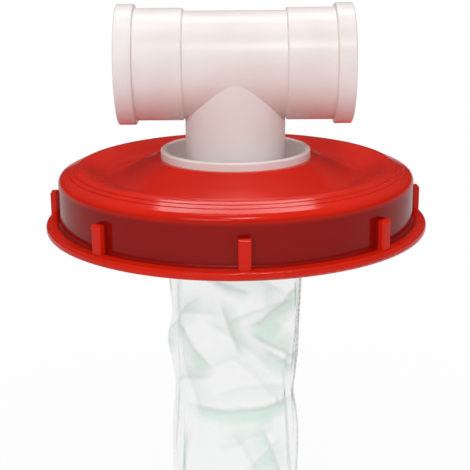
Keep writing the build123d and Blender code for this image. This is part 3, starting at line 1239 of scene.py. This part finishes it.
        # The clamp holds all above the grip, and the sewing holds the lowest 3 mm.
        gripped = (self.grip_bottom + 1) * MM
        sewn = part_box("filter_bag")[0].z + 3 * MM
        held = piece.vertex_groups.new(name="held")
        for vertex in piece.data.vertices:
            if vertex.co.z > gripped or vertex.co.z < sewn:
                held.add([vertex.index], 1.0, "REPLACE")
        before = [vertex.co.copy() for vertex in piece.data.vertices]
        cloth = piece.modifiers.new("settle", "CLOTH")
        cloth.collision_settings.use_collision = False
        cloth.collision_settings.use_self_collision = False
        settings = cloth.settings
        settings.quality = 6
        settings.mass = 0.02
        settings.tension_stiffness = 15
        settings.compression_stiffness = 15
        settings.shear_stiffness = 8
        settings.bending_stiffness = 0.05
        settings.vertex_group_mass = "held"
        settings.shrink_min = -self.slack
        scene = bpy.context.scene
        for step in range(1, self.settle_steps + 1):
            scene.frame_set(step)
        bake_modifiers(piece)
        scene.frame_set(1)
        for vertex, start in zip(piece.data.vertices, before):
            move = vertex.co - start
            if move.length > self.settle_limit * MM:
                vertex.co = start + move.normalized() * self.settle_limit * MM

    def seam_lines(
        self, piece: bpy.types.Object
    ) -> tuple[list[Vector], list[Vector], list[Vector]]:
        """Follow the side seam down the settled cloth.

        Args:
            piece: The settled cloth.

        Returns:
            The seam's points, the way round the bag and the way out at each.
        """
        column = round(self.seam_angle / 360 * self.columns)
        # From the ring where the cloth comes free of the spigot to the last above the bottom.
        end = len(self.profile()) - self.bottom_rings - self.disc_rings
        first = end - self.rows - 1
        spine, aside, out = [], [], []
        for ring in range(first, end):
            here = [
                piece.data.vertices[ring * self.columns + (column + k) % self.columns].co
                for k in (-1, 0, 1)
            ]
            above = piece.data.vertices[(ring - 1) * self.columns + column].co
            below = piece.data.vertices[(ring + 1) * self.columns + column].co
            tangent = (here[2] - here[0]).normalized()
            normal = tangent.cross(above - below).normalized()
            spine.append(here[1].copy())
            aside.append(tangent)
            out.append(normal)
        return spine, aside, out

    def seam(
        self, spine: list[Vector], aside: list[Vector], out: list[Vector]
    ) -> bpy.types.Object:
        """Make the folded seam that closes the tube.

        Args:
            spine: Points down the seam.
            aside: The way round the bag at each.
            out: The way out of the bag at each.

        Returns:
            The seam's strip.
        """
        section = self.seam_section
        vertices = [
            point + side * across * MM + away * rise * MM
            for point, side, away in zip(spine, aside, out)
            for across, rise in section
        ]
        wide = len(section)
        faces = [
            (row * wide + k, (row + 1) * wide + k, (row + 1) * wide + k + 1, row * wide + k + 1)
            for row in range(len(spine) - 1)
            for k in range(wide - 1)
        ]
        piece = new_object("bag_side_seam", vertices, faces)
        uv = piece.data.uv_layers.new(name="cloth")
        step = (spine[0] - spine[-1]).length / len(spine)
        for loop in piece.data.loops:
            row, k = divmod(loop.vertex_index, wide)
            uv.data[loop.index].uv = (section[k][0] * MM, row * step)
        wall = piece.modifiers.new("wall", "SOLIDIFY")
        wall.thickness = self.wall * MM
        wall.offset = 0
        piece.data.materials.append(self.seam_cloth.material())
        return piece

    def cuff(self) -> bpy.types.Object:
        """Make the tape cuff, with a rolled hem at each edge.

        Returns:
            The cuff's ring.
        """
        low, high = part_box("bag_cuff")
        inner, outer = self.cuff_bore, high.x / MM - 0.05
        bottom, top = low.z / MM, high.z / MM
        # Each hem is 2 mm wide, rounded over 0.4 by 0.25 mm, and 0.14 mm thicker than the tape.
        hem, rounding, easing, fold = 2.0, 0.4, 0.25, 0.14
        section = [
            (inner, bottom),
            (outer - easing, bottom),
            (outer, bottom + rounding),
            (outer, bottom + hem - rounding),
            (outer - fold, bottom + hem),
            (outer - fold, top - hem),
            (outer, top - hem + rounding),
            (outer, top - rounding),
            (outer - easing, top),
            (inner, top),
        ]
        columns, wide = self.cuff_columns, len(section)
        turns = [2 * math.pi * column / columns for column in range(columns)]
        vertices = [
            Vector((radius * math.sin(turn), -radius * math.cos(turn), height)) * MM
            for turn in turns
            for radius, height in section
        ]
        faces = [
            (
                column * wide + k,
                (column + 1) % columns * wide + k,
                (column + 1) % columns * wide + (k + 1) % wide,
                column * wide + (k + 1) % wide,
            )
            for column in range(columns)
            for k in range(wide)
        ]
        piece = new_object("bag_cuff_tape", vertices, faces)
        uv = piece.data.uv_layers.new(name="cloth")
        # The section's sides count as equally long, 1.3 mm each, in the weave's own map.
        mean_side = 1.3
        for polygon in piece.data.polygons:
            column, k = divmod(polygon.index, wide)
            for corner, (turn, point) in zip(
                polygon.loop_indices, ((0, k), (1, k), (1, k + 1), (0, k + 1))
            ):
                along = (column + turn) / columns * 2 * math.pi * outer
                uv.data[corner].uv = (along * MM, point * mean_side * MM)
        piece.data.materials.append(self.tape.material())
        return piece

    def stitching(
        self, spine: list[Vector], aside: list[Vector], out: list[Vector]
    ) -> bpy.types.Object:
        """Sew the side seam and both hems of the cuff.

        Args:
            spine: Points down the seam.
            aside: The way round the bag at each.
            out: The way out of the bag at each.

        Returns:
            The stitches as one mesh.
        """
        lines = [
            [
                point + side * across * MM + away * self.stitch_rise * MM
                for point, side, away in zip(spine, aside, out)
            ]
            for across in self.seam_rows
        ]
        low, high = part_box("bag_cuff")
        steps = 240
        for height in (low.z + self.hem_row * MM, high.z - self.hem_row * MM):
            lines.append(
                [
                    Vector((high.x * math.sin(turn), -high.x * math.cos(turn), height))
                    for turn in (2 * math.pi * step / steps for step in range(steps + 1))
                ]
            )
        return self.stitches.sew("bag_stitches", lines, self.thread.material())

    def build(self) -> None:
        """Make the bag, its seam, cuff and stitches, and fix them to the lid."""
        cloth = self.cloth()
        self.settle(cloth)
        course = self.seam_lines(cloth)
        cloth.data.materials.append(self.mesh_cloth.material())
        wall = cloth.modifiers.new("wall", "SOLIDIFY")
        wall.thickness = self.wall * MM
        wall.offset = 0
        seam, cuff, sewing = self.seam(*course), self.cuff(), self.stitching(*course)
        for piece in (cloth, seam, cuff, sewing):
            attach(piece, Body.LID.value)
        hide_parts("filter_bag")
        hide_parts("bag_cuff")
        log.info("filter bag with %d faces, seam, cuff and stitches", len(cloth.data.polygons))


# ------------------------------------------------------------------ studio
@dataclass(frozen=True)
class SoftBox:
    """One rectangular lamp.

    Attributes:
        name: The lamp's name.
        place: Its centre, in metres.
        size: Its width and height, in metres.
        power: Its power, in watts.
        aim_height: Height on the lid's axis that it faces, in metres.
    """

    name: str
    place: tuple[float, float, float]
    size: tuple[float, float]
    power: float
    aim_height: float = 0.0

    def hang(self) -> None:
        """Put the lamp in the scene."""
        data = bpy.data.lights.new(self.name, "AREA")
        data.shape = "RECTANGLE"
        data.size, data.size_y = self.size
        data.energy = self.power
        lamp = bpy.data.objects.new(self.name, data)
        lamp.location = self.place
        lamp.rotation_mode = "QUATERNION"
        aim = Vector((0, 0, self.aim_height)) - Vector(self.place)
        lamp.rotation_quaternion = aim.to_track_quat("-Z", "Y")
        bpy.context.scene.collection.objects.link(lamp)


@dataclass
class Studio:
    """Pale floor, soft light and the camera.

    Attributes:
        distance: From the camera to its target, in metres.
        elevation: How far the camera stands above the target, in degrees.
        target: The point it looks at, in metres.
        lens: Its focal length, in millimetres.
        roll: Its turn about its own axis, in degrees.
        floor_drop: How far the floor lies below the bag, in metres.
        floor_reach: Half the width of the floor, in metres.
        room_light: Strength of the even light from all round.
        wall_glow: How bright the room's walls look in a reflection.
        ceiling_glow: How bright its ceiling looks in a reflection.
        ceiling_edge: Sines of the angles up at which wall ends and ceiling begins.
        floor_glow: How bright the floor looks in a reflection, beside its own light.
        near_share: How much of the floor near the object is plain white.
        shadow_radius: Where the shadowed floor near the object starts to fade.
        clear_radius: Where the floor is plain white, in metres like the one above.
        lamps: The soft boxes.
    """

    distance: float = 0.5675
    elevation: float = 16.24
    target: Vector = field(default_factory=lambda: Vector((-0.0006, 0.0, -0.03086)))
    lens: float = 84.2
    roll: float = -0.45
    floor_drop: float = 0.02
    floor_reach: float = 12.0
    room_light: float = 0.41
    wall_glow: float = 0.05
    ceiling_glow: float = 0.35
    ceiling_edge: tuple[float, float] = (0.25, 0.9)
    floor_glow: float = 0.25
    near_share: float = 0.92
    shadow_radius: float = 0.3
    clear_radius: float = 0.75
    lamps: tuple[SoftBox, ...] = (
        SoftBox("back", (0, 0.47, 1.0), (0.72, 0.2), 3.7),
        SoftBox("key", (0.06, -0.74, 0.78), (0.24, 0.16), 3.2),
        SoftBox("fill", (-0.3, -0.95, 0.45), (0.5, 0.35), 1.8),
        SoftBox("strip", (0, -0.02, 1.1), (0.5, 0.07), 0.9, aim_height=0.06),
    )

    def camera(self) -> None:
        """Place the camera in front of the object, a little above it."""
        data = bpy.data.cameras.new("camera")
        data.lens = self.lens
        data.sensor_width = 36.0
        data.clip_start, data.clip_end = 0.01, 50.0
        camera = bpy.data.objects.new("camera", data)
        bpy.context.scene.collection.objects.link(camera)
        tilt = math.radians(self.elevation)
        back = Vector((0, -math.cos(tilt), math.sin(tilt)))
        camera.location = self.target + back * self.distance
        camera.rotation_mode = "QUATERNION"
        look = (-back).to_track_quat("-Z", "Y")
        camera.rotation_quaternion = Quaternion(back, math.radians(self.roll)) @ look
        bpy.context.scene.camera = camera

    def backdrop_share(self, tree: bpy.types.NodeTree) -> bpy.types.NodeSocket:
        """How much of the floor is plain white: all of it far off, less near the object.

        Args:
            tree: The floor's nodes.

        Returns:
            An output for the share, which leaves the object's shadow on the floor.
        """
        path = add_node(tree, "ShaderNodeLightPath").outputs
        place = add_node(tree, "ShaderNodeTexCoord").outputs["Object"]
        radius = add_node(tree, "ShaderNodeVectorMath", {0: place}, operation="LENGTH")
        far = add_node(
            tree,
            "ShaderNodeMapRange",
            {
                "Value": radius.outputs["Value"],
                "From Min": self.shadow_radius,
                "From Max": self.clear_radius,
                "To Min": self.near_share,
                "To Max": 1.0,
            },
        )
        mirrored = add_node(
            tree,
            "ShaderNodeMath",
            {0: path["Is Glossy Ray"], 1: self.floor_glow},
            operation="MULTIPLY",
        )
        straight = add_node(
            tree,
            "ShaderNodeMath",
            {0: path["Is Camera Ray"], 1: path["Is Transmission Ray"]},
            operation="MAXIMUM",
        )
        seen = add_node(
            tree,
            "ShaderNodeMath",
            {0: straight.outputs[0], 1: far.outputs["Result"]},
            operation="MULTIPLY",
        )
        return add_node(
            tree,
            "ShaderNodeMath",
            {0: mirrored.outputs[0], 1: seen.outputs[0]},
            operation="MAXIMUM",
        ).outputs[0]

    def floor(self) -> None:
        """Lay a wide white floor under the bag."""
        low = cad_bounds[0].z - self.floor_drop
        reach = self.floor_reach
        corners = [
            Vector((x * reach, y * reach, low)) for x, y in ((-1, -1), (1, -1), (1, 1), (-1, 1))
        ]
        plane = new_object("floor", corners, [(0, 1, 2, 3)])
        material = bpy.data.materials.new("white paper, matt")
        material.use_nodes = True
        tree = material.node_tree
        tree.nodes.clear()
        paper = add_node(tree, "ShaderNodeBsdfDiffuse", {"Color": linear("F8F8F8")})
        glow = add_node(tree, "ShaderNodeEmission", {"Color": linear("FFFFFF"), "Strength": 1.0})
        both = add_node(
            tree,
            "ShaderNodeMixShader",
            {0: self.backdrop_share(tree), 1: paper.outputs[0], 2: glow.outputs[0]},
        )
        add_node(tree, "ShaderNodeOutputMaterial", {"Surface": both.outputs[0]})
        plane.data.materials.append(material)

    def world(self) -> None:
        """Fill the room with even light, a little paler above than at its walls."""
        world = bpy.data.worlds.new("room")
        world.use_nodes = True
        tree = world.node_tree
        tree.nodes.clear()
        path = add_node(tree, "ShaderNodeLightPath").outputs
        up = add_node(
            tree,
            "ShaderNodeSeparateXYZ",
            {"Vector": add_node(tree, "ShaderNodeTexCoord").outputs["Generated"]},
        )
        mirrored = add_node(
            tree,
            "ShaderNodeMapRange",
            {
                "Value": up.outputs["Z"],
                "From Min": self.ceiling_edge[0],
                "From Max": self.ceiling_edge[1],
                "To Min": self.wall_glow,
                "To Max": self.ceiling_glow,
            },
        )
        gloss = add_node(
            tree,
            "ShaderNodeMapRange",
            {
                "Value": path["Is Glossy Ray"],
                "To Min": self.room_light,
                "To Max": mirrored.outputs["Result"],
            },
        )
        seen = add_node(
            tree,
            "ShaderNodeMath",
            {0: path["Is Camera Ray"], 1: path["Is Transmission Ray"]},
            operation="MAXIMUM",
        )
        strength = add_node(
            tree,
            "ShaderNodeMapRange",
            {"Value": seen.outputs[0], "To Min": gloss.outputs["Result"], "To Max": 1.0},
        )
        sky = add_node(
            tree,
            "ShaderNodeBackground",
            {"Color": linear("FFFFFF"), "Strength": strength.outputs["Result"]},
        )
        add_node(tree, "ShaderNodeOutputWorld", {"Surface": sky.outputs[0]})
        bpy.context.scene.world = world

    def build(self) -> None:
        """Set up the floor, the light and the camera."""
        bpy.context.scene.view_settings.view_transform = "Standard"
        self.floor()
        self.world()
        for lamp in self.lamps:
            lamp.hang()
        self.camera()
        log.info("studio ready")


def main() -> None:
    logging.basicConfig(level=logging.INFO, format="%(name)s: %(message)s")
    ScrewLid().build()
    VentFitting().build()
    HoseClamp().build()
    FilterBag().build()
    Studio().build()


if __name__ == "__main__":
    main()
